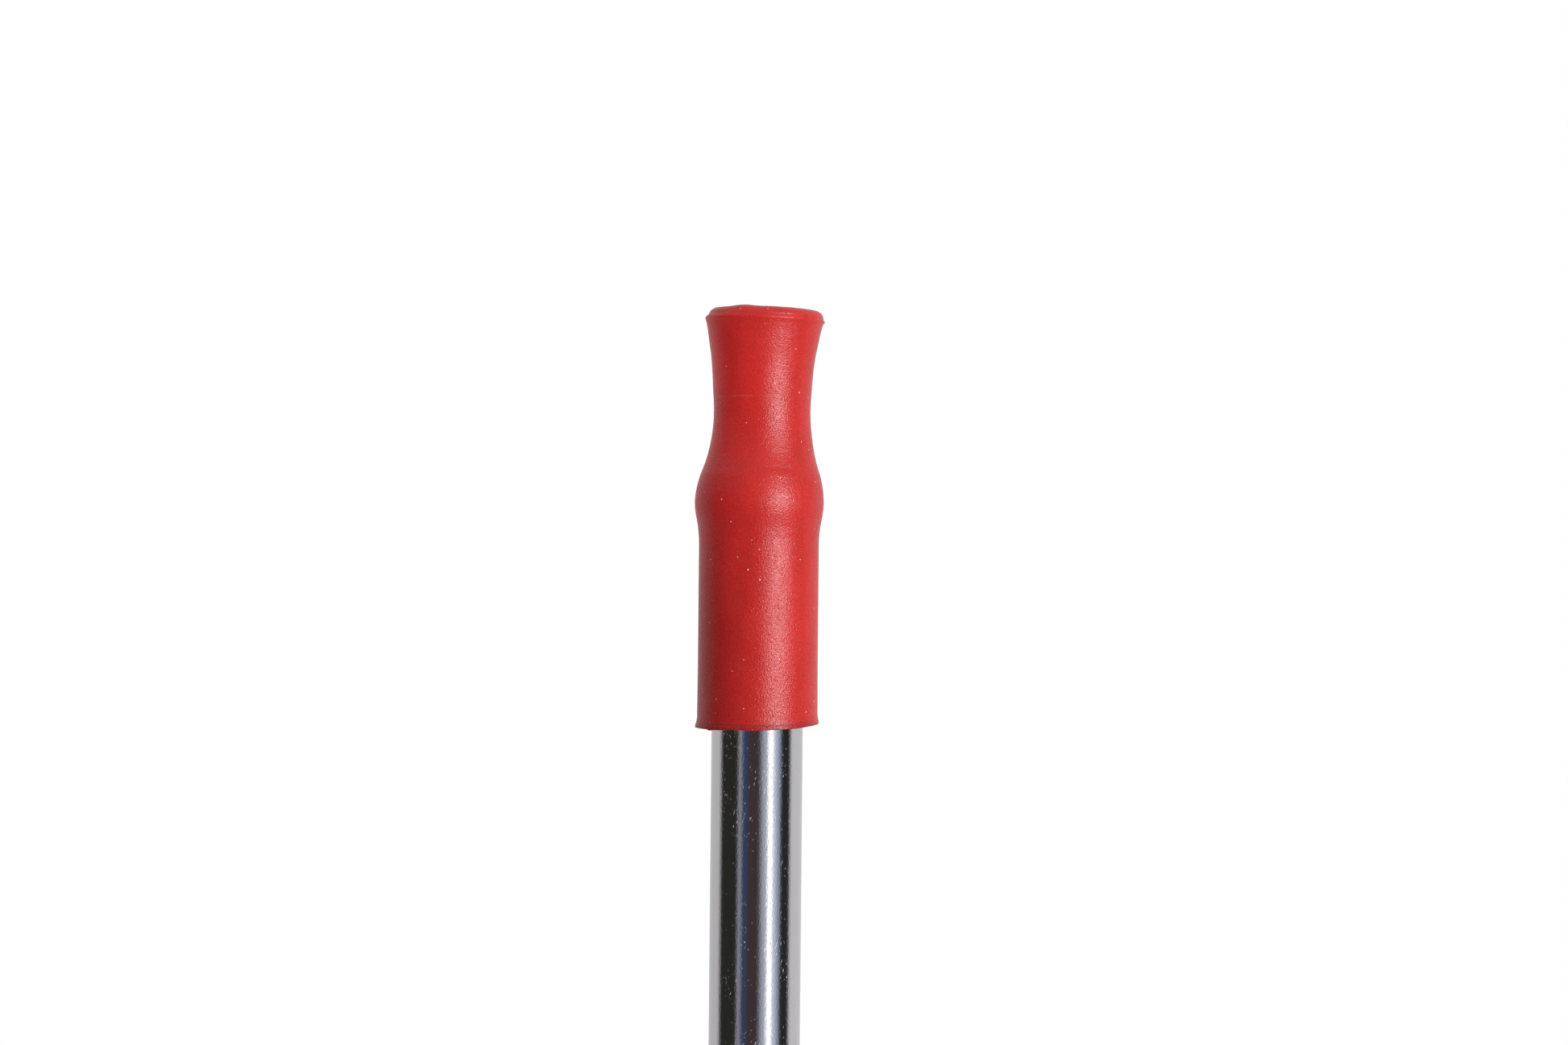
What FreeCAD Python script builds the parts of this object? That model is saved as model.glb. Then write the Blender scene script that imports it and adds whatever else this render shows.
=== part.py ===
"""Reusable drinking straw: a straight stainless steel tube and the silicone mouth tip that pushes onto it.

The tube stands along +Z with the centre of its lower end at the origin. Units are millimetres.
"""

import FreeCAD, Part
import os

import Sketcher

PARTS_FOLDER = "parts"

# Driving dimensions. Heights on the tip are measured up from the foot of its sleeve.
DIMENSIONS = {
    # tube: drawn and polished, with its ends rounded over
    "tube_diameter": 8.0,
    "tube_wall": 0.5,
    "tube_length": 215.0,
    "end_rounding": 0.2,
    # how the tip sits on the tube
    "socket_depth": 22.35,
    "socket_play": 0.03,
    "seat_gap": 0.05,
    # sleeve that grips the tube, with a thin trimmed foot
    "foot_diameter": 10.7,
    "foot_height": 0.2,
    "foot_flare_height": 0.8,
    "sleeve_diameter": 10.5,
    "sleeve_height": 15.9,
    # bulge over the end of the tube
    "bulge_diameter": 11.26,
    "bulge_height": 19.7,
    "bulge_radius": 8.0,
    # waist where the lips close, and the flare above it
    "waist_diameter": 8.47,
    "waist_height": 27.6,
    "flare_start_diameter": 8.78,
    "flare_start_height": 30.6,
    "flare_radius": 29.0,
    "rim_flare_radius": 8.0,
    "rim_diameter": 10.38,
    "rim_height": 35.6,
    # rolled lip around the throat
    "lip_corner_radius": 0.95,
    "lip_crown_radius": 5.0,
    "lip_inner_radius": 0.5,
    "tip_length": 36.6,
    "throat_diameter": 6.0,
}


def make_sheet(doc):
    """Writes the driving dimensions to a spreadsheet, one aliased cell each."""
    sheet = doc.addObject("Spreadsheet::Sheet", "dims")
    for row, (alias, value) in enumerate(DIMENSIONS.items(), start=1):
        sheet.set(f"A{row}", alias)
        sheet.set(f"B{row}", str(value))
        sheet.setAlias(f"B{row}", alias)
    doc.recompute()


class Section:
    """Half the section of a turned piece: one closed chain of edges on its body's XZ plane.

    In the sketch, x is the distance from the piece's axis and y is the height.
    Edges are drawn close to their places, and the dimensions bound to the sheet then set them.
    """

    START, END, CENTRE = 1, 2, 3
    BASE_LINE = -1
    ORIGIN = (BASE_LINE, START)
    SAME_POINT = 1e-6

    def __init__(self, body, first_point):
        self.body = body
        self.sketch = body.newObject("Sketcher::SketchObject", body.Label + "_section")
        plane = next(f for f in body.Origin.OriginFeatures if f.Role == "XZ_Plane")
        self.sketch.AttachmentSupport = [(plane, "")]
        self.sketch.MapMode = "FlatFace"
        self.points = {}
        self.last_edge = None
        self.drawn_to = FreeCAD.Vector(*first_point)

    def constrain(self, kind, *places):
        return self.sketch.addConstraint(Sketcher.Constraint(kind, *places))

    def add(self, name, curve, end, smooth):
        """Adds an edge that carries on from the last one, smoothly or at a corner."""
        index = self.sketch.addGeometry(curve, False)
        # a sketch stores every arc counter-clockwise, so one drawn clockwise has its ends swapped
        swapped = self.sketch.getPoint(index, self.START).distanceToPoint(self.drawn_to) > self.SAME_POINT
        first, last = (self.END, self.START) if swapped else (self.START, self.END)
        self.points[name, "start"] = (index, first)
        self.points[name, "end"] = (index, last)
        self.points[name, "centre"] = (index, self.CENTRE)
        if self.last_edge:
            self.join(self.last_edge, name, smooth)
        self.last_edge = name
        self.drawn_to = end

    def join(self, edge, next_edge, smooth=False):
        """Holds the end of one edge on the start of the next."""
        kind = "Tangent" if smooth else "Coincident"
        self.constrain(kind, *self.points[edge, "end"], *self.points[next_edge, "start"])

    def line(self, name, end, smooth=False, keep=None):
        """A straight edge, which keep can hold "Vertical" or "Horizontal"."""
        end = FreeCAD.Vector(*end)
        self.add(name, Part.LineSegment(self.drawn_to, end), end, smooth)
        if keep:
            self.constrain(keep, self.points[name, "start"][0])

    def arc(self, name, end, radius, smooth=True):
        """A round edge of under half a turn, bowed to the right of its way, or to its left if radius < 0."""
        end = FreeCAD.Vector(*end)
        chord = end - self.drawn_to
        to_right = FreeCAD.Vector(chord.y, -chord.x).normalize()
        bow = abs(radius) - (radius**2 - (chord.Length / 2) ** 2) ** 0.5
        middle = (self.drawn_to + end) / 2 + to_right * (bow if radius > 0 else -bow)
        self.add(name, Part.Arc(self.drawn_to, middle, end), end, smooth)

    def bind(self, label, kind, formula, *places):
        """A dimension of the sketch, bound to a formula of the sheet's aliases."""
        index = self.constrain(kind, *places, self.sketch.evalExpression(formula))
        self.sketch.renameConstraint(index, label)
        self.sketch.setExpression(f"Constraints.{label}", formula)

    def radius_at(self, edge, place, formula):
        """How far a point of an edge lies from the piece's axis."""
        self.bind(f"{edge}_{place}_radius", "DistanceX", formula, *self.ORIGIN, *self.points[edge, place])

    def height_at(self, edge, place, formula):
        """How high a point of an edge lies above the piece's lower end."""
        self.bind(f"{edge}_{place}_height", "DistanceY", formula, *self.ORIGIN, *self.points[edge, place])

    def arc_radius(self, edge, formula):
        self.bind(f"{edge}_arc_radius", "Radius", formula, self.points[edge, "start"][0])

    def on_base_line(self, edge, place):
        """Holds a point at the piece's lower end."""
        self.constrain("PointOnObject", *self.points[edge, place], self.BASE_LINE)

    def level_with_centre(self, edge, place):
        """Holds an arc's end level with its centre, where it stands upright."""
        self.constrain("Horizontal", *self.points[edge, place], *self.points[edge, "centre"])

    def above_centre(self, edge, place):
        """Holds an arc's end straight above its centre, where it lies level."""
        self.constrain("Vertical", *self.points[edge, place], *self.points[edge, "centre"])

    def turn(self):
        """Revolves the section about the piece's axis."""
        solid = self.body.newObject("PartDesign::Revolution", self.body.Label + "_turned")
        solid.Profile = self.sketch
        solid.ReferenceAxis = (self.sketch, ["V_Axis"])
        solid.Angle = 360.0
        return solid


def between(start, end, share):
    """The point that lies a share of the way from start to end."""
    return tuple(a + (b - a) * share for a, b in zip(start, end))


def make_straw_tube(doc):
    """Thin-walled tube, open at both ends."""
    body = doc.addObject("PartDesign::Body", "straw_tube")
    outer = DIMENSIONS["tube_diameter"] / 2
    inner = outer - DIMENSIONS["tube_wall"]
    length = DIMENSIONS["tube_length"]

    section = Section(body, (inner, 0))
    section.line("lower_end", (outer, 0), keep="Horizontal")
    section.line("outside", (outer, length), keep="Vertical")
    section.line("upper_end", (inner, length), keep="Horizontal")
    section.line("bore", (inner, 0), keep="Vertical")
    section.join("bore", "lower_end")
    section.on_base_line("lower_end", "start")
    section.radius_at("lower_end", "start", "dims.tube_diameter / 2 - dims.tube_wall")
    section.radius_at("lower_end", "end", "dims.tube_diameter / 2")
    section.height_at("outside", "end", "dims.tube_length")
    solid = section.turn()
    round_ends(doc, body, solid)
    return body


def round_ends(doc, body, solid):
    """Rounds the inner and outer edge of both ends."""
    doc.recompute()
    edges = enumerate(solid.Shape.Edges, start=1)
    rims = [f"Edge{number}" for number, edge in edges if isinstance(edge.Curve, Part.Circle)]
    rounding = body.newObject("PartDesign::Fillet", body.Label + "_rounded_ends")
    rounding.Base = (solid, rims)
    rounding.setExpression("Radius", "dims.end_rounding")


def make_silicone_tip(doc):
    """Soft moulded tip: a socket with a stop for the tube, and a throat out to a flared, rolled lip."""
    body = doc.addObject("PartDesign::Body", "silicone_tip")
    socket = DIMENSIONS["tube_diameter"] / 2 + DIMENSIONS["socket_play"]
    section = Section(body, (socket, 0))
    draw_sleeve(section)
    draw_bulge_and_waist(section)
    draw_flare(section)
    draw_lip(section)
    draw_inside(section, socket)
    section.turn()
    body.setExpression("Placement.Base.z", "dims.tube_length + dims.seat_gap - dims.socket_depth")
    return body


def at(name):
    """A named place on the tip's outline: its distance from the axis and its height."""
    return DIMENSIONS[name + "_diameter"] / 2, DIMENSIONS[name + "_height"]


def draw_sleeve(section):
    """The foot's short flare and the straight sleeve above it."""
    foot_radius, foot_height = at("foot")
    sleeve_radius, sleeve_height = at("sleeve")
    section.line("foot", (foot_radius, 0), keep="Horizontal")
    section.line("foot_edge", (foot_radius, foot_height), keep="Vertical")
    section.line("foot_flare", (sleeve_radius, DIMENSIONS["foot_flare_height"]))
    section.line("sleeve", (sleeve_radius, sleeve_height), keep="Vertical")
    section.on_base_line("foot", "start")
    section.radius_at("foot", "start", "dims.tube_diameter / 2 + dims.socket_play")
    section.radius_at("foot", "end", "dims.foot_diameter / 2")
    section.height_at("foot_edge", "end", "dims.foot_height")
    section.height_at("foot_flare", "end", "dims.foot_flare_height")
    section.radius_at("sleeve", "end", "dims.sleeve_diameter / 2")
    section.height_at("sleeve", "end", "dims.sleeve_height")


def s_curve(lower, upper, bulge, bulge_radius):
    """An S of two arcs between two upright places, one of them the bulge.

    Two such arcs that meet smoothly have radii that add up to (step^2 + rise^2) / (2 * step).
    Returns the other arc's radius and the point where they meet.
    """
    step = abs(upper[0] - lower[0])
    rise = upper[1] - lower[1]
    both_radii = (step**2 + rise**2) / (2 * step)
    other = lower if bulge is upper else upper
    return both_radii - bulge_radius, between(bulge, other, bulge_radius / both_radii)


def draw_bulge_and_waist(section):
    """The bulge over the tube's end, which runs smoothly out of the sleeve and down into the waist."""
    sleeve = at("sleeve")
    bulge = at("bulge")
    waist = at("waist")
    bulge_radius = DIMENSIONS["bulge_radius"]
    shoulder_radius, shoulder_end = s_curve(sleeve, bulge, bulge, bulge_radius)
    waist_radius, bulge_end = s_curve(bulge, waist, bulge, bulge_radius)
    section.arc("shoulder", shoulder_end, -shoulder_radius)
    section.arc("bulge", bulge, bulge_radius)
    section.arc("bulge_top", bulge_end, bulge_radius)
    section.arc("waist", waist, -waist_radius)
    for edge in ("bulge", "waist"):
        section.level_with_centre(edge, "end")
        section.radius_at(edge, "end", f"dims.{edge}_diameter / 2")
        section.height_at(edge, "end", f"dims.{edge}_height")
    section.arc_radius("bulge", "dims.bulge_radius")
    section.arc_radius("bulge_top", "dims.bulge_radius")


def draw_flare(section):
    """The waist opens slowly and straight, and then ever faster out to the rim of the lip."""
    flare_start = at("flare_start")
    rim = at("rim")
    waist_radius = section.sketch.Geometry[section.points["waist", "start"][0]].Radius
    section.arc("neck_start", between(at("waist"), flare_start, 1 / 3), -waist_radius)
    section.line("neck", flare_start, smooth=True)
    section.arc("flare", between(flare_start, rim, 3 / 4), -DIMENSIONS["flare_radius"])
    section.arc("rim_flare", rim, -DIMENSIONS["rim_flare_radius"])
    arcs = [section.points[edge, "start"][0] for edge in ("waist", "neck_start")]
    section.constrain("Equal", *arcs)
    section.radius_at("neck", "end", "dims.flare_start_diameter / 2")
    section.height_at("neck", "end", "dims.flare_start_height")
    section.arc_radius("flare", "dims.flare_radius")
    section.arc_radius("rim_flare", "dims.rim_flare_radius")
    section.radius_at("rim_flare", "end", "dims.rim_diameter / 2")
    section.height_at("rim_flare", "end", "dims.rim_height")


def draw_lip(section):
    """The rim turns over at a crease into a rolled lip, which rounds over into the throat."""
    throat_radius = DIMENSIONS["throat_diameter"] / 2
    inner_radius = DIMENSIONS["lip_inner_radius"]
    crown = (throat_radius + inner_radius, DIMENSIONS["tip_length"])
    corner_end = (at("rim")[0] - DIMENSIONS["lip_corner_radius"], crown[1] - 0.05)
    section.arc("lip_corner", corner_end, DIMENSIONS["lip_corner_radius"], smooth=False)
    section.arc("lip_crown", crown, DIMENSIONS["lip_crown_radius"])
    section.arc("lip_inner", (throat_radius, crown[1] - inner_radius), inner_radius)
    section.arc_radius("lip_corner", "dims.lip_corner_radius")
    section.arc_radius("lip_crown", "dims.lip_crown_radius")
    section.arc_radius("lip_inner", "dims.lip_inner_radius")
    section.above_centre("lip_crown", "end")
    section.height_at("lip_crown", "end", "dims.tip_length")


def draw_inside(section, socket):
    """The throat, the stop that the tube's end meets, and the socket around the tube."""
    throat_radius = DIMENSIONS["throat_diameter"] / 2
    stop_height = DIMENSIONS["socket_depth"]
    section.line("throat", (throat_radius, stop_height), smooth=True, keep="Vertical")
    section.line("stop", (socket, stop_height), keep="Horizontal")
    section.line("socket", (socket, 0), keep="Vertical")
    section.join("socket", "foot")
    section.radius_at("throat", "end", "dims.throat_diameter / 2")
    section.height_at("throat", "end", "dims.socket_depth")


def check_document(doc, bodies):
    """Stops if any object failed to compute or any piece isn't one valid solid."""
    for item in doc.Objects:
        if {"Invalid", "Error"} & set(item.State):
            raise RuntimeError(f"{item.Label} failed to compute: {item.State}")
        if item.isDerivedFrom("Sketcher::SketchObject") and not item.FullyConstrained:
            raise RuntimeError(f"{item.Label} isn't fully constrained")
    for body in bodies:
        shape = body.Shape
        if shape.isNull() or not shape.isValid() or len(shape.Solids) != 1:
            raise RuntimeError(f"{body.Label} isn't one valid solid")


def write_parts(bodies):
    """Writes each piece to its own STEP file, named after it."""
    os.makedirs(PARTS_FOLDER, exist_ok=True)
    for body in bodies:
        body.Shape.exportStep(os.path.join(PARTS_FOLDER, body.Label + ".step"))
        box = body.Shape.optimalBoundingBox()
        print(f"{body.Label}: {body.Shape.Volume:.1f} mm^3, z {box.ZMin:.2f} to {box.ZMax:.2f}")


def main():
    doc = FreeCAD.newDocument("drinking_straw")
    make_sheet(doc)
    bodies = [make_straw_tube(doc), make_silicone_tip(doc)]
    doc.recompute()
    check_document(doc, bodies)
    write_parts(bodies)


main()
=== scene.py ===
"""Looks of the reusable drinking straw: a polished steel tube and the soft red mouth tip on its upper end.

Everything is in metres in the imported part's frame: +Z runs up the tube and the origin is at its lower end.
Small sizes are written in millimetres, as a number times MM. An azimuth is an angle about the tube: 0 faces
the camera and 90 degrees is its right-hand side.
"""

import math

import bpy
import numpy as np
from mathutils import Matrix, Vector


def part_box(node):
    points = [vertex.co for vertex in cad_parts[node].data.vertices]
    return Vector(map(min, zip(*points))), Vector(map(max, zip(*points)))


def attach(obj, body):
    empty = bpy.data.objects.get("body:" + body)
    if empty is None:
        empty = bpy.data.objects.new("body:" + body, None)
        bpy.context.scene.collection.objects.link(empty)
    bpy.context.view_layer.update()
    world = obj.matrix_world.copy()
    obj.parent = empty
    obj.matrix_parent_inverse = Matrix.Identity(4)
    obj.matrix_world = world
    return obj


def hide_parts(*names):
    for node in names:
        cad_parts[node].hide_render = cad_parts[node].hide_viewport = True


MM = 0.001

# Mesh density
SEGMENTS = 256
RING_STEP = 0.22 * MM
FINE_RING_STEP = 0.06 * MM
TUBE_WALL_RINGS = 120
ARC_POINTS = 7

# How near to a CAD surface a place still counts as on it
SLACK = 0.1 * MM

# How the soft tip sits: it steps aside over the tube's end, bends over towards its lip, and its foot was cut
# askew. A level is a height above the tip's foot.
STEP_ASIDE = 0.18 * MM
STEP_STARTS, STEP_ENDS = 19 * MM, 26.5 * MM
BEND = math.radians(1.9)
BEND_STARTS, BEND_ENDS = 27 * MM, 36 * MM
FOOT_SKEW = math.radians(2.2)
FOOT_SKEW_REACH = 2.5 * MM

# Levels of marks on the tip
GROOVE_LEVEL = 0.42 * MM
SLEEVE_FULLER_LEVEL = 19.5 * MM
PRESSED_RING_LEVEL = 21.95 * MM
PRESSED_DENT_LEVEL = 22.6 * MM
BULGE_SLIMMER_LEVEL = 22.8 * MM
NECK_LINE_LEVEL = 28.8 * MM
NECK_FULLER_LEVEL = 33.5 * MM
RIM_LEVEL = 35.6 * MM

# Camera, placed from the foot of the tip
CAMERA_LENS = 70.0
CAMERA_DISTANCE = 267 * MM
CAMERA_ABOVE_FOOT = 17.9 * MM
CAMERA_SIDE = 2.18 * MM
CAMERA_ROLL = math.radians(0.54)


def smoothstep(value, low, high):
    """0 below low, 1 above high, and a smooth rise in between."""
    share = np.clip((value - low) / (high - low), 0, 1)
    return share * share * (3 - 2 * share)


def bump_at(value, centre, width):
    """A smooth bump of height 1 at centre, which has all but faded out two widths away."""
    return np.exp(-(((value - centre) / width) ** 2))


def azimuth_bump(azimuth, centre_deg, width_deg):
    """A smooth bump around one azimuth."""
    away = (azimuth - math.radians(centre_deg) + math.pi) % (2 * math.pi) - math.pi
    return np.exp(-((away / math.radians(width_deg)) ** 2))


def ripple(azimuth, seed, waves=9):
    """Smooth unevenness round a ring, between about -1 and 1, that closes on itself."""
    random = np.random.default_rng(seed)
    total = np.zeros_like(azimuth)
    for wave in range(1, waves + 1):
        total += random.normal() / wave**0.5 * np.cos(wave * azimuth + random.uniform(0, 2 * math.pi))
    return total / 3


def cad_rings(node):
    """The (radius, height) of every ring of vertices on a turned CAD node."""
    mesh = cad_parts[node].data
    points = np.empty(len(mesh.vertices) * 3)
    mesh.vertices.foreach_get("co", points)
    points = points.reshape(-1, 3)
    rings = np.column_stack([np.hypot(points[:, 0], points[:, 1]), points[:, 2]])
    return np.unique(np.round(rings, 5), axis=0)


def one_per_height(rings):
    """The rings from the lowest up, with those at one height made into one."""
    heights = np.unique(rings[:, 1])
    return np.array([(rings[rings[:, 1] == height, 0].mean(), height) for height in heights])


def divide_long_edges(points, longest):
    """The chain of points with more points on its long straight edges."""
    out = [points[0]]
    for start, end in zip(points[:-1], points[1:]):
        parts = max(1, math.ceil(np.linalg.norm(end - start) / longest))
        out += [start + (end - start) * k / parts for k in range(1, parts + 1)]
    return np.array(out)


def smooth_chain(points, step_at):
    """A smooth curve through the points, resampled in steps as long as step_at says for their height."""
    points = divide_long_edges(points, 0.5 * MM)
    along = np.concatenate([[0], np.cumsum(np.linalg.norm(np.diff(points, axis=0), axis=1))])
    slopes = np.gradient(points, along, axis=0)
    stations = [0.0]
    while stations[-1] < along[-1]:
        height = np.interp(stations[-1], along, points[:, 1])
        stations.append(stations[-1] + step_at(height))
    stations[-1] = along[-1]
    stations = np.array(stations)
    before = np.clip(np.searchsorted(along, stations, side="right") - 1, 0, len(along) - 2)
    span = along[before + 1] - along[before]
    t = ((stations - along[before]) / span)[:, None]
    span = span[:, None]
    return (
        (1 + 2 * t) * (1 - t) ** 2 * points[before]
        + t * (1 - t) ** 2 * span * slopes[before]
        + t**2 * (3 - 2 * t) * points[before + 1]
        - t**2 * (1 - t) * span * slopes[before + 1]
    )


def straight(start, end, count):
    """Evenly spaced points from just past start up to end."""
    start, end = np.array(start), np.array(end)
    return [start + (end - start) * k / count for k in range(1, count + 1)]


def turned_mesh(name, section, shape):
    """A closed mesh that turns a section, which is a loop of (radius, height), about the tube's axis.

    shape takes the radius, height and azimuth of every vertex and returns its place.
    """
    count = len(section)
    azimuth = np.arange(SEGMENTS) / SEGMENTS * 2 * math.pi
    radius = np.repeat(section[:, 0], SEGMENTS)
    height = np.repeat(section[:, 1], SEGMENTS)
    places = shape(radius, height, np.tile(azimuth, count))
    ring = np.arange(count)[:, None] * SEGMENTS
    next_ring = (np.arange(count)[:, None] + 1) % count * SEGMENTS
    here = np.arange(SEGMENTS)[None, :]
    beside = (here + 1) % SEGMENTS
    corners = [ring + here, ring + beside, next_ring + beside, next_ring + here]
    faces = np.stack(corners, axis=-1).reshape(-1, 4)
    mesh = bpy.data.meshes.new(name)
    mesh.from_pydata(places.tolist(), [], faces.tolist())
    mesh.validate()
    mesh.shade_smooth()
    piece = bpy.data.objects.new(name, mesh)
    bpy.context.scene.collection.objects.link(piece)
    return piece


# ---------------------------------------------------------------- the soft tip


def tip_section():
    """The tip's section, once round: up the outside, over the lip, and down the throat and the socket."""
    rings = cad_rings("silicone_tip")
    foot = rings[:, 1].min()
    throat_radius = rings[:, 0].min()
    socket_radius = rings[rings[:, 1] == foot, 0].min()
    stop_height = rings[np.isclose(rings[:, 0], throat_radius, atol=0.01 * MM), 1].min()
    crown = rings[rings[:, 1].argmax()]
    on_lip = rings[:, 1] > RIM_HEIGHT - SLACK
    outside = rings[(rings[:, 0] > socket_radius + SLACK) | (on_lip & (rings[:, 0] >= crown[0]))]
    inner_lip = rings[on_lip & (rings[:, 0] < crown[0]) & (rings[:, 1] > RIM_HEIGHT + 0.4 * MM)]

    def step_at(height):
        near_detail = min(abs(height - detail) for detail in FINE_HEIGHTS) < 0.7 * MM
        return FINE_RING_STEP if near_detail else RING_STEP

    outer = smooth_chain(one_per_height(outside), step_at)
    inner = one_per_height(inner_lip)[::-1]
    chain = [*outer, *inner]
    chain += straight(chain[-1], (throat_radius, stop_height), count=20)
    chain += straight((throat_radius, stop_height), (socket_radius, stop_height), count=3)
    chain += straight((socket_radius, stop_height), (socket_radius, foot), count=24)
    chain += straight((socket_radius, foot), outer[0], count=6)[:-1]
    return np.array(chain)


def on_outside(radius):
    """0 on the tip's inside, 1 on its outside, and a smooth rise through the wall between them."""
    return smoothstep(radius, TUBE_RADIUS + 0.3 * MM, TUBE_RADIUS + 0.8 * MM)


def tip_shape(radius, height, azimuth):
    """Where a point of the tip is, with the unevenness of a soft moulding pushed on by hand."""
    level = height - TIP_FOOT
    outside = on_outside(radius)
    height = height + foot_cut(radius, level, azimuth, outside)
    radius = radius + outside * (foot_relief(level, azimuth) + body_relief(level, azimuth))
    radius = radius + lip_relief(level, azimuth) * on_outside(radius)
    height = height + lip_rise(radius, level, azimuth)
    return bend_over(radius, height, azimuth)


def foot_cut(radius, level, azimuth, outside):
    """How far the foot's edge is from level: askew, higher at both sides, and with a torn nib."""
    askew = FOOT_SKEW * radius * np.sin(azimuth) + 0.13 * MM * np.sin(azimuth) ** 2
    askew = askew * (1 - smoothstep(level, 0, FOOT_SKEW_REACH))
    torn = -0.09 * MM * azimuth_bump(azimuth, -50, 1.8) + 0.08 * MM * azimuth_bump(azimuth, -22, 12)
    torn += -0.05 * MM * azimuth_bump(azimuth, 38, 14) + 0.012 * MM * ripple(azimuth, 3)
    return askew + torn * outside * (1 - smoothstep(level, 0, 0.5 * MM))


def foot_relief(level, azimuth):
    """The trimmed foot: a groove over a ragged flare, wider on its left, and a sleeve that widens to it."""
    groove = -0.018 * MM * bump_at(level, GROOVE_LEVEL, 0.12 * MM)
    ragged = 0.02 * MM * ripple(azimuth, 5, waves=14) * bump_at(level, 0, 0.35 * MM)
    spread = 0.06 * MM * azimuth_bump(azimuth, -90, 30) * bump_at(level, 0, 0.5 * MM)
    widening = 0.03 * MM * (1 - smoothstep(level, 0, 6 * MM))
    return groove + ragged + spread + widening


def body_relief(level, azimuth):
    """Slow waves of the soft wall, a line round the neck, and the ring that the tube's end presses out.

    Against the CAD the wall is also a hair fuller at two levels and slimmer at one.
    """
    slow = 0.010 * MM * ripple(azimuth, 7, waves=4) * smoothstep(level, 1 * MM, 4 * MM)
    pressed = 0.018 * MM * bump_at(level, PRESSED_RING_LEVEL, 0.3 * MM)
    pressed -= 0.022 * MM * bump_at(level, PRESSED_DENT_LEVEL, 0.22 * MM)
    pressed = pressed * (0.3 + 0.7 * azimuth_bump(azimuth, 18, 40))
    raised = 0.012 * MM * bump_at(level, NECK_LINE_LEVEL, 0.12 * MM) * azimuth_bump(azimuth, 20, 45)
    fuller = 0.04 * MM * bump_at(level, NECK_FULLER_LEVEL, 2 * MM)
    fuller += 0.03 * MM * bump_at(level, SLEEVE_FULLER_LEVEL, 0.8 * MM)
    slimmer = 0.045 * MM * bump_at(level, BULGE_SLIMMER_LEVEL, 2.0 * MM)
    return slow + pressed + raised + fuller - slimmer


def lip_relief(level, azimuth):
    """The moulding's flash round the rim, worn away on the left and a sharp fin on the right.

    The lip above it is fuller on the right and has a fine ridge of its own.
    """
    fin = 0.02 * MM + 0.09 * MM * azimuth_bump(azimuth, 92, 30) + 0.01 * MM * ripple(azimuth, 11, waves=20)
    fin = fin * (1 - 0.9 * azimuth_bump(azimuth, -90, 40))
    worn = 0.15 * MM * smoothstep(level, RIM_LEVEL - 0.05 * MM, RIM_LEVEL + 0.35 * MM)
    worn += 0.09 * MM * bump_at(level, RIM_LEVEL + 0.4 * MM, 0.22 * MM)
    worn = worn * azimuth_bump(azimuth, -90, 50)
    above_rim = smoothstep(level, RIM_LEVEL + 0.2 * MM, RIM_LEVEL + 0.9 * MM)
    full = 0.14 * MM * azimuth_bump(azimuth, 90, 50) * above_rim
    ridge = 0.02 * MM + 0.03 * MM * azimuth_bump(azimuth, 20, 14)
    ridge = ridge * bump_at(level, RIM_LEVEL + 0.42 * MM, 0.06 * MM)
    return fin * bump_at(level, RIM_LEVEL, 0.09 * MM) - worn + full + ridge


def lip_rise(radius, level, azimuth):
    """The lip's uneven crown: a low hump in front, as a gate leaves it, and a slant up to the right."""
    on_crown = smoothstep(level, RIM_LEVEL + 0.5 * MM, RIM_LEVEL + 0.95 * MM)
    on_crown = on_crown * smoothstep(radius, 3.05 * MM, 3.5 * MM)
    hump = 0.10 * MM * azimuth_bump(azimuth, -27, 13) + 0.05 * MM * azimuth_bump(azimuth, 80, 45)
    hump -= 0.05 * MM * azimuth_bump(azimuth, -65, 50)
    return on_crown * (hump + 0.015 * MM * ripple(azimuth, 13, waves=12))


def bend_over(radius, height, azimuth):
    """Turns (radius, height, azimuth) into a place, on an axis that steps aside and then bends."""
    level = height - TIP_FOOT
    angle = BEND * smoothstep(level, BEND_STARTS, BEND_ENDS)
    # once it bends, the axis drifts by the integral of its slope
    bend_length = BEND_ENDS - BEND_STARTS
    share = np.clip((level - BEND_STARTS) / bend_length, 0, 1)
    past_bend = np.clip(level - BEND_ENDS, 0, None)
    bent = BEND * (bend_length * (share**3 - share**4 / 2) + past_bend)
    # the socket stays on the tube and only the wall outside it and the throat above it step aside
    in_socket = (radius < TUBE_RADIUS + SLACK) & (height < TUBE_TOP + SLACK)
    aside = np.where(in_socket, 0, STEP_ASIDE * smoothstep(level, STEP_STARTS, STEP_ENDS))
    side = radius * np.sin(azimuth)
    x = aside + bent + side * np.cos(angle)
    y = -radius * np.cos(azimuth)
    z = height - side * np.sin(angle)
    return np.column_stack([x, y, z])


# ---------------------------------------------------------------- the tube


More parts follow.
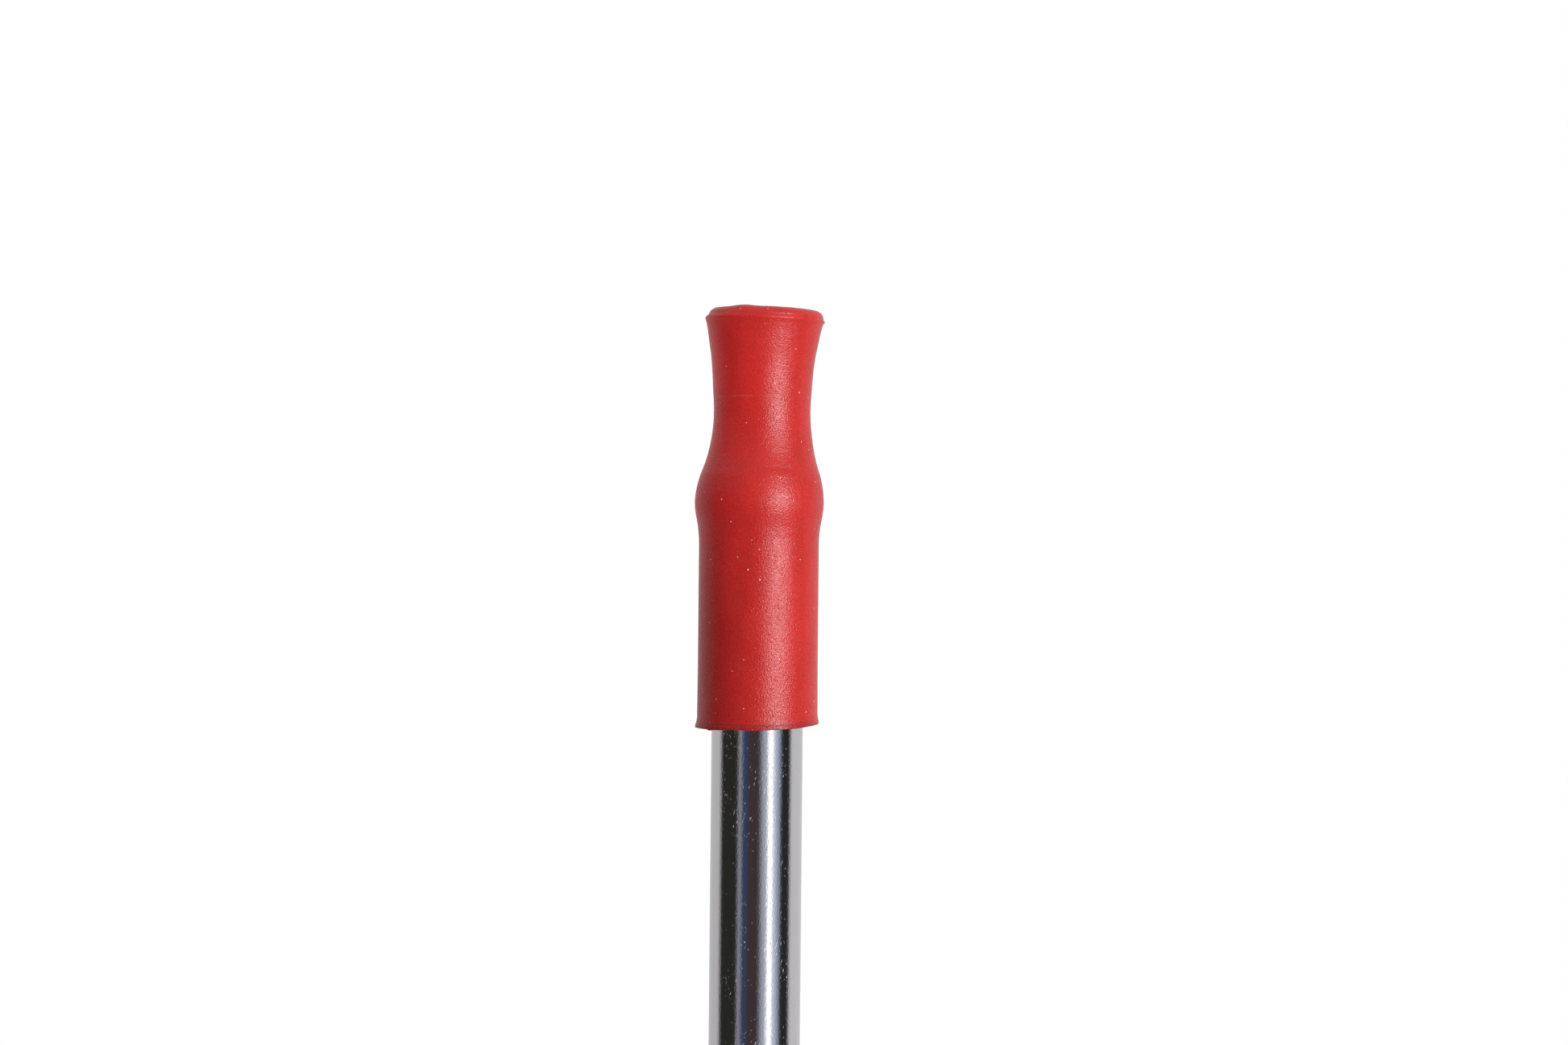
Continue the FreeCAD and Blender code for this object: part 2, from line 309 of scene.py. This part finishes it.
def tube_section():
    """The tube's thin wall, once round, with both of its ends rounded over as the CAD ends are."""
    rings = cad_rings("straw_tube")
    outer_radius, inner_radius = rings[:, 0].max(), rings[:, 0].min()
    bottom, top = rings[:, 1].min(), rings[:, 1].max()
    rounding = rings[np.isclose(rings[:, 0], outer_radius, atol=0.001 * MM), 1].min() - bottom
    corners = [
        (outer_radius - rounding, bottom + rounding, -90),
        (outer_radius - rounding, top - rounding, 0),
        (inner_radius + rounding, top - rounding, 90),
        (inner_radius + rounding, bottom + rounding, 180),
    ]
    chain = []
    for radius, height, first_deg in corners:
        for turn in np.radians(first_deg + np.linspace(0, 90, ARC_POINTS)):
            chain.append((radius + rounding * math.cos(turn), height + rounding * math.sin(turn)))
        if first_deg in (-90, 90):
            far = top - rounding if first_deg == -90 else bottom + rounding
            chain += [tuple(p) for p in straight(chain[-1], (chain[-1][0], far), TUBE_WALL_RINGS)[:-1]]
    return np.array(chain)


def tube_shape(radius, height, azimuth):
    """A drawn tube is straight and round but for a few microns of draw lines."""
    drawn = 0.0015 * MM * ripple(azimuth, 17, waves=24)
    radius = radius + drawn
    return np.column_stack([radius * np.sin(azimuth), -radius * np.cos(azimuth), height])


# ---------------------------------------------------------------- node helpers


def add_node(tree, kind, inputs=None, **settings):
    """Adds a shader node, and links or sets its inputs."""
    made = tree.nodes.new("ShaderNode" + kind)
    for name, value in settings.items():
        setattr(made, name, value)
    for name, value in (inputs or {}).items():
        if isinstance(value, bpy.types.NodeSocket):
            tree.links.new(value, made.inputs[name])
        else:
            made.inputs[name].default_value = value
    return made


def maths(tree, operation, *values):
    inputs = dict(enumerate(values))
    return add_node(tree, "Math", inputs, operation=operation).outputs[0]


def mix_colour(tree, factor, first, second):
    """first where factor is 0 and second where it is 1."""
    a, b = 6, 7  # the Mix node's colour sockets
    return add_node(tree, "Mix", {0: factor, a: first, b: second}, data_type="RGBA").outputs[2]


def map_range(tree, value, low, high, to_low=0.0, to_high=1.0):
    """A smooth rise from to_low at low to to_high at high."""
    inputs = {"Value": value, "From Min": low, "From Max": high, "To Min": to_low, "To Max": to_high}
    return add_node(tree, "MapRange", inputs, interpolation_type="SMOOTHSTEP").outputs[0]


def place_above_foot(tree):
    """The distance to the right of the tube's axis and the height above the tip's foot, in its own object."""
    place = add_node(tree, "TexCoord").outputs["Object"]
    parts = add_node(tree, "SeparateXYZ", {"Vector": place})
    return parts.outputs["X"], maths(tree, "SUBTRACT", parts.outputs["Z"], TIP_FOOT)


def stretched(tree, around, along, slant_deg=0.0):
    """Object coordinates in units of a feature's size around the tube and along it."""
    place = add_node(tree, "TexCoord").outputs["Object"]
    slant = (0, math.radians(slant_deg), 0)
    turned = add_node(tree, "Mapping", {"Vector": place, "Rotation": slant}).outputs[0]
    scale = (1 / around, 1 / around, 1 / along)
    return add_node(tree, "Mapping", {"Vector": turned, "Scale": scale}).outputs[0]


def noise(tree, vector, detail=2.0, roughness=0.5):
    inputs = {"Vector": vector, "Scale": 1.0, "Detail": detail, "Roughness": roughness}
    return add_node(tree, "TexNoise", inputs).outputs["Fac"]


def specks(tree, around, along, size, share):
    """A mask of scattered specks, in cells as large as around and along say.

    share is the part of the cells that hold a speck, and size is a speck's radius in cells.
    """
    vector = stretched(tree, around, along)
    cells = add_node(tree, "TexVoronoi", {"Vector": vector, "Scale": 1.0, "Randomness": 1.0})
    chance = add_node(tree, "SeparateColor", {0: cells.outputs["Color"]}).outputs[0]
    chosen = maths(tree, "LESS_THAN", chance, share)
    spot = map_range(tree, cells.outputs["Distance"], size, size * 0.6)
    return maths(tree, "MULTIPLY", chosen, spot)


def new_material(name):
    made = bpy.data.materials.new(name)
    made.use_nodes = True
    tree = made.node_tree
    return made, tree, tree.nodes["Principled BSDF"]


def connect(tree, source, node, socket):
    tree.links.new(source, node.inputs[socket])


# ---------------------------------------------------------------- materials


def silicone():
    """Soft red moulding: matt with a fine grain that sparkles in the highlights, and a little dust. It also
    has painted shade along the foot's edge and a painted highlight along a neck line.
    """
    made, tree, shader = new_material("red_silicone")
    red = (0.355, 0.0145, 0.0120, 1)
    deep_red = (0.32, 0.0118, 0.0098, 1)
    # the colour of the painted shade along the foot's lower edge
    shaded_red = (0.10, 0.006, 0.010, 1)
    dust = (0.85, 0.62, 0.60, 1)
    mottle = noise(tree, stretched(tree, 3 * MM, 5 * MM), detail=3.0)
    colour = mix_colour(tree, map_range(tree, mottle, 0.35, 0.7), red, deep_red)
    dusty = maths(
        tree,
        "MAXIMUM",
        specks(tree, 1.1 * MM, 1.1 * MM, 0.075, 0.22),
        specks(tree, 0.6 * MM, 0.6 * MM, 0.10, 0.16),
    )
    # painted shade: the skin turns darker red towards the foot's lower edge
    colour = mix_colour(tree, painted_foot_shade(tree), colour, shaded_red)
    # the pale mix holds real dust specks and a painted highlight along the neck's moulded line
    pale = maths(tree, "MAXIMUM", maths(tree, "MULTIPLY", dusty, 0.55), painted_neck_glint(tree))
    connect(tree, mix_colour(tree, pale, colour, dust), shader, "Base Color")

    pebbles = add_node(tree, "TexVoronoi", {"Vector": stretched(tree, 0.13 * MM, 0.13 * MM), "Scale": 1.0})
    grain = noise(tree, stretched(tree, 0.10 * MM, 0.10 * MM), detail=1.0)
    grain = maths(tree, "MULTIPLY_ADD", pebbles.outputs["Distance"], -0.8, grain)
    roughness = map_range(tree, noise(tree, stretched(tree, 1.2 * MM, 2 * MM)), 0.3, 0.7, 0.31, 0.35)
    sparkle = specks(tree, 0.24 * MM, 0.24 * MM, 0.40, 0.4)
    roughness = maths(tree, "MULTIPLY_ADD", sparkle, -0.09, roughness)
    connect(tree, roughness, shader, "Roughness")
    waves = noise(tree, stretched(tree, 2.2 * MM, 4 * MM), detail=1.0)
    undulation = add_node(tree, "Bump", {"Height": waves, "Strength": 0.3, "Distance": 0.008 * MM})
    dome = {"Height": sparkle, "Distance": 0.009 * MM, "Normal": undulation.outputs[0]}
    domes = add_node(tree, "Bump", dome)
    bump = {"Height": grain, "Strength": 1.0, "Distance": 0.020 * MM, "Normal": domes.outputs[0]}
    connect(tree, add_node(tree, "Bump", bump).outputs[0], shader, "Normal")
    shader.inputs["Specular IOR Level"].default_value = 0.34
    shader.inputs["IOR"].default_value = 1.43
    shader.inputs["Subsurface Weight"].default_value = 0.5
    shader.inputs["Subsurface Radius"].default_value = (1.0, 0.15, 0.12)
    shader.inputs["Subsurface Scale"].default_value = 1.2 * MM
    return made


def painted_foot_shade(tree):
    """A mask for painted shade along the foot's cut edge: it darkens the skin towards the edge and follows
    the skew of the cut.
    """
    across, above = place_above_foot(tree)
    level = maths(tree, "MULTIPLY_ADD", across, -FOOT_SKEW, above)
    return map_range(tree, level, 0.85 * MM, 0.15 * MM, 0.0, 0.5)


def painted_neck_glint(tree):
    """A mask for a painted highlight: a faint pale line that runs part of the way round the neck, along its
    moulded ridge.
    """
    _, above = place_above_foot(tree)
    away = maths(tree, "ABSOLUTE", maths(tree, "SUBTRACT", above, NECK_LINE_LEVEL))
    line = map_range(tree, away, 0.11 * MM, 0.0, 0.0, 0.035)
    broken = map_range(tree, noise(tree, stretched(tree, 2.5 * MM, 9 * MM)), 0.45, 0.62)
    return maths(tree, "MULTIPLY", line, broken)


def steel():
    """Drawn and polished stainless steel: fine lines along the tube, granular polish, scratches and dust."""
    made, tree, shader = new_material("polished_steel")
    metal = (0.63, 0.625, 0.635, 1)
    dust = (0.8, 0.78, 0.76, 1)
    dusty = maths(
        tree,
        "MAXIMUM",
        specks(tree, 0.9 * MM, 1.1 * MM, 0.08, 0.14),
        maths(tree, "MULTIPLY", specks(tree, 0.28 * MM, 0.34 * MM, 0.26, 0.2), 0.3),
    )
    marks = maths(tree, "MAXIMUM", dusty, scratches(tree))
    connect(tree, mix_colour(tree, marks, metal, dust), shader, "Base Color")
    connect(tree, maths(tree, "SUBTRACT", 1.0, maths(tree, "MULTIPLY", marks, 0.6)), shader, "Metallic")

    lines = noise(tree, stretched(tree, 0.14 * MM, 9 * MM), detail=4.0, roughness=0.65)
    polish = noise(tree, stretched(tree, 0.16 * MM, 0.3 * MM), detail=3.0, roughness=0.65)
    rough = map_range(tree, lines, 0.3, 0.75, 0.04, 0.09)
    rough = maths(tree, "ADD", rough, maths(tree, "MULTIPLY", marks, 0.4))
    connect(tree, rough, shader, "Roughness")
    drawn = add_node(tree, "Bump", {"Height": lines, "Strength": 0.35, "Distance": 0.004 * MM})
    fine = {"Height": polish, "Strength": 0.8, "Distance": 0.011 * MM, "Normal": drawn.outputs[0]}
    polished = add_node(tree, "Bump", fine)
    scratched = {"Height": marks, "Strength": 1.0, "Distance": 0.004 * MM, "Normal": polished.outputs[0]}
    connect(tree, add_node(tree, "Bump", scratched).outputs[0], shader, "Normal")
    return made


def scratches(tree):
    """Short slanted scratches in loose clusters."""
    marks = noise(tree, stretched(tree, 0.12 * MM, 0.6 * MM, slant_deg=-20), detail=1.0)
    marks = map_range(tree, marks, 0.63, 0.76)
    clusters = map_range(tree, noise(tree, stretched(tree, 2.4 * MM, 5 * MM)), 0.53, 0.65)
    return maths(tree, "MULTIPLY", marks, clusters)


# ---------------------------------------------------------------- studio


# What stands round the straw at its own level, which is what the tube mirrors: the azimuths in degrees where
# each thing starts and ends, and its colour. The colours blend across the gaps between neighbours.
SURROUNDINGS = {
    "backdrop_left": (-180, -108, (0.65, 0.63, 0.65)),
    "dark_room": (-95, -50, (0.03, 0.03, 0.025)),
    "grey_edge": (-43, -39, (0.35, 0.35, 0.4)),
    "blue_edge": (-34, -24, (0.05, 0.07, 0.15)),
    "brown_cloth": (-18, 6, (0.07, 0.045, 0.045)),
    "window_shade": (20, 27, (0.5, 0.55, 0.65)),
    "window_core": (33, 39, (2.0, 2.0, 2.0)),
    "window_sky": (45, 50, (0.7, 0.75, 0.9)),
    "window_far_side": (58, 61, (0.35, 0.4, 0.5)),
    "black_edge": (67, 90, (0.03, 0.03, 0.03)),
    "backdrop_right": (100, 180, (0.75, 0.73, 0.75)),
}
CEILING = (0.75, 0.75, 0.78)
LAMP_DISTANCE = 0.9
LAMP_AIM_LEVEL = 18 * MM
NECK_SPOT_LEVEL = 31 * MM


def studio_world():
    """White to the camera, and to all else a ring of coloured bands under a pale ceiling."""
    world = bpy.data.worlds.new("studio")
    bpy.context.scene.world = world
    world.use_nodes = True
    tree = world.node_tree
    tree.nodes.clear()
    direction = add_node(tree, "TexCoord").outputs["Generated"]
    parts = add_node(tree, "SeparateXYZ", {0: direction})
    x, y, z = parts.outputs
    azimuth = maths(tree, "ARCTAN2", x, maths(tree, "MULTIPLY", y, -1.0))
    turn = maths(tree, "MULTIPLY_ADD", azimuth, 1 / (2 * math.pi), 0.5)
    bands = add_node(tree, "ValToRGB", {0: turn})
    fill_ramp(bands.color_ramp)
    high = map_range(tree, z, 0.15, 0.6)
    around = mix_colour(tree, high, bands.outputs[0], (*CEILING, 1))
    lit = add_node(tree, "Background", {"Color": around, "Strength": 1.0})
    seen = add_node(tree, "Background", {"Color": (1, 1, 1, 1), "Strength": 1.0})
    to_camera = add_node(tree, "LightPath").outputs["Is Camera Ray"]
    both = add_node(tree, "MixShader", {0: to_camera, 1: lit.outputs[0], 2: seen.outputs[0]})
    output = add_node(tree, "OutputWorld")
    connect(tree, both.outputs[0], output, "Surface")


def fill_ramp(ramp):
    """Puts the surroundings on a colour ramp, whose 0 and 1 are straight behind the straw."""
    stops = []
    for starts, ends, colour in SURROUNDINGS.values():
        stops += [(starts, colour), (ends, colour)]
    for azimuth, _ in stops[1:-1]:
        ramp.elements.new((azimuth + 180) / 360)
    for element, (_, colour) in zip(ramp.elements, stops):
        element.color = (*colour, 1)


def hang_lamp(light, target, away, distance):
    """Puts a light at a distance from its target, in the direction away, and faces it to the target."""
    lamp = bpy.data.objects.new(light.name, light)
    bpy.context.scene.collection.objects.link(lamp)
    lamp.location = target + away * distance
    lamp.rotation_euler = away.to_track_quat("Z", "Y").to_euler()
    return lamp


def softbox(name, azimuth_deg, elevation_deg, distance, size, power, colour=(1, 1, 1)):
    """A rectangular light that faces the tip."""
    light = bpy.data.lights.new(name, "AREA")
    light.shape = "RECTANGLE"
    light.size, light.size_y = size
    light.energy = power
    light.color = colour
    azimuth, elevation = math.radians(azimuth_deg), math.radians(elevation_deg)
    away = Vector((math.sin(azimuth), -math.cos(azimuth), 0)) * math.cos(elevation)
    away.z = math.sin(elevation)
    return hang_lamp(light, AIM, away, distance)


def light_only(lamp, piece):
    """Lets a bright lamp light one piece alone, so that the tube doesn't mirror it."""
    lit = bpy.data.collections.new("lit_by_" + lamp.name)
    lit.objects.link(piece)
    lamp.light_linking.receiver_collection = lit


def neck_spot():
    """A weak light that stands for the glow of the hollow neck, where no steel tube blocks the light."""
    light = bpy.data.lights.new("neck_spot", "SPOT")
    light.energy = 5.0
    light.color = (1.0, 0.85, 0.85)
    light.spot_size = math.radians(4.4)
    light.spot_blend = 1.0
    light.shadow_soft_size = 10 * MM
    target = Vector((0, 0, TIP_FOOT + NECK_SPOT_LEVEL))
    azimuth = math.radians(-62)
    away = Vector((math.sin(azimuth), -math.cos(azimuth), 0.1)).normalized()
    lamp = hang_lamp(light, target, away, 500 * MM)
    lamp.visible_glossy = False


def pale_floor():
    """A round pale floor that fades out into the white background. The tube mirrors the bands instead."""
    radius = 500 * MM
    rings, spokes = 24, 96
    places = [(0, 0, 0)]
    for ring in range(1, rings + 1):
        for spoke in range(spokes):
            turn = 2 * math.pi * spoke / spokes
            reach = radius * ring / rings
            places.append((reach * math.cos(turn), reach * math.sin(turn), 0))
    faces = [(0, 1 + k, 1 + (k + 1) % spokes) for k in range(spokes)]
    for ring in range(1, rings):
        near, far = 1 + (ring - 1) * spokes, 1 + ring * spokes
        for k in range(spokes):
            beside = (k + 1) % spokes
            faces.append((near + k, far + k, far + beside, near + beside))
    mesh = bpy.data.meshes.new("floor")
    mesh.from_pydata(places, [], faces)
    floor = bpy.data.objects.new("floor", mesh)
    bpy.context.scene.collection.objects.link(floor)

    made, tree, shader = new_material("floor")
    shader.inputs["Base Color"].default_value = (0.86, 0.86, 0.87, 1)
    shader.inputs["Roughness"].default_value = 0.9
    shader.inputs["Specular IOR Level"].default_value = 0.1
    shader.inputs["Emission Color"].default_value = (1, 1, 1, 1)
    shader.inputs["Emission Strength"].default_value = 0.25
    place = add_node(tree, "TexCoord").outputs["Object"]
    away = add_node(tree, "VectorMath", {0: place}, operation="LENGTH").outputs["Value"]
    connect(tree, map_range(tree, away, 0.3 * radius, 0.97 * radius, 1.0, 0.0), shader, "Alpha")
    mesh.materials.append(made)
    floor.visible_glossy = False


def add_camera():
    """Level with the tip and close to it, as a photographer stands for a close-up."""
    data = bpy.data.cameras.new("camera")
    data.lens = CAMERA_LENS
    data.sensor_width = 36.0
    data.clip_start = 0.01
    camera = bpy.data.objects.new("camera", data)
    bpy.context.scene.collection.objects.link(camera)
    upright = Matrix.Rotation(math.radians(90), 4, "X")
    place = Matrix.Translation((CAMERA_SIDE, -CAMERA_DISTANCE, TIP_FOOT + CAMERA_ABOVE_FOOT))
    camera.matrix_world = place @ upright @ Matrix.Rotation(CAMERA_ROLL, 4, "Z")
    bpy.context.scene.camera = camera


# ---------------------------------------------------------------- build

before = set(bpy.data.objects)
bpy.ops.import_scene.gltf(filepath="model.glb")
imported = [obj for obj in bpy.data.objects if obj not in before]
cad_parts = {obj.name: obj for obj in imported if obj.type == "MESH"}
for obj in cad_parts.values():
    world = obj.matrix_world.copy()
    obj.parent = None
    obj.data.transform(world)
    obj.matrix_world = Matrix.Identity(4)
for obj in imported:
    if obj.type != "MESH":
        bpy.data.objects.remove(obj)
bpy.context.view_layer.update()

tip_low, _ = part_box("silicone_tip")
_, tube_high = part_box("straw_tube")
TIP_FOOT = tip_low.z
TUBE_RADIUS = tube_high.x
TUBE_TOP = tube_high.z
RIM_HEIGHT = TIP_FOOT + RIM_LEVEL
FINE_HEIGHTS = [TIP_FOOT, TUBE_TOP, TIP_FOOT + NECK_LINE_LEVEL, RIM_HEIGHT]
AIM = Vector((0, 0, TIP_FOOT + LAMP_AIM_LEVEL))

tip = turned_mesh("silicone_tip_skin", tip_section(), tip_shape)
tip.data.materials.append(silicone())
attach(tip, "tip")
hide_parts("silicone_tip")

tube = turned_mesh("straw_tube_wall", tube_section(), tube_shape)
tube.data.materials.append(steel())
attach(tube, "straw")
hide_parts("straw_tube")

studio_world()
pale_floor()
key = softbox("key_softbox", 39, 3.5, LAMP_DISTANCE, (0.40, 0.13), power=9.5, colour=(0.97, 0.98, 1.0))
light_only(key, tip)
fill = softbox("soft_fill", 38, 10, LAMP_DISTANCE, (0.8, 0.6), power=2.8)
fill.visible_glossy = False
back_fill = softbox("back_fill", 200, 15, LAMP_DISTANCE, (0.6, 0.6), power=3.0)
back_fill.visible_glossy = False
neck_spot()
add_camera()
bpy.context.scene.view_settings.view_transform = "Standard"
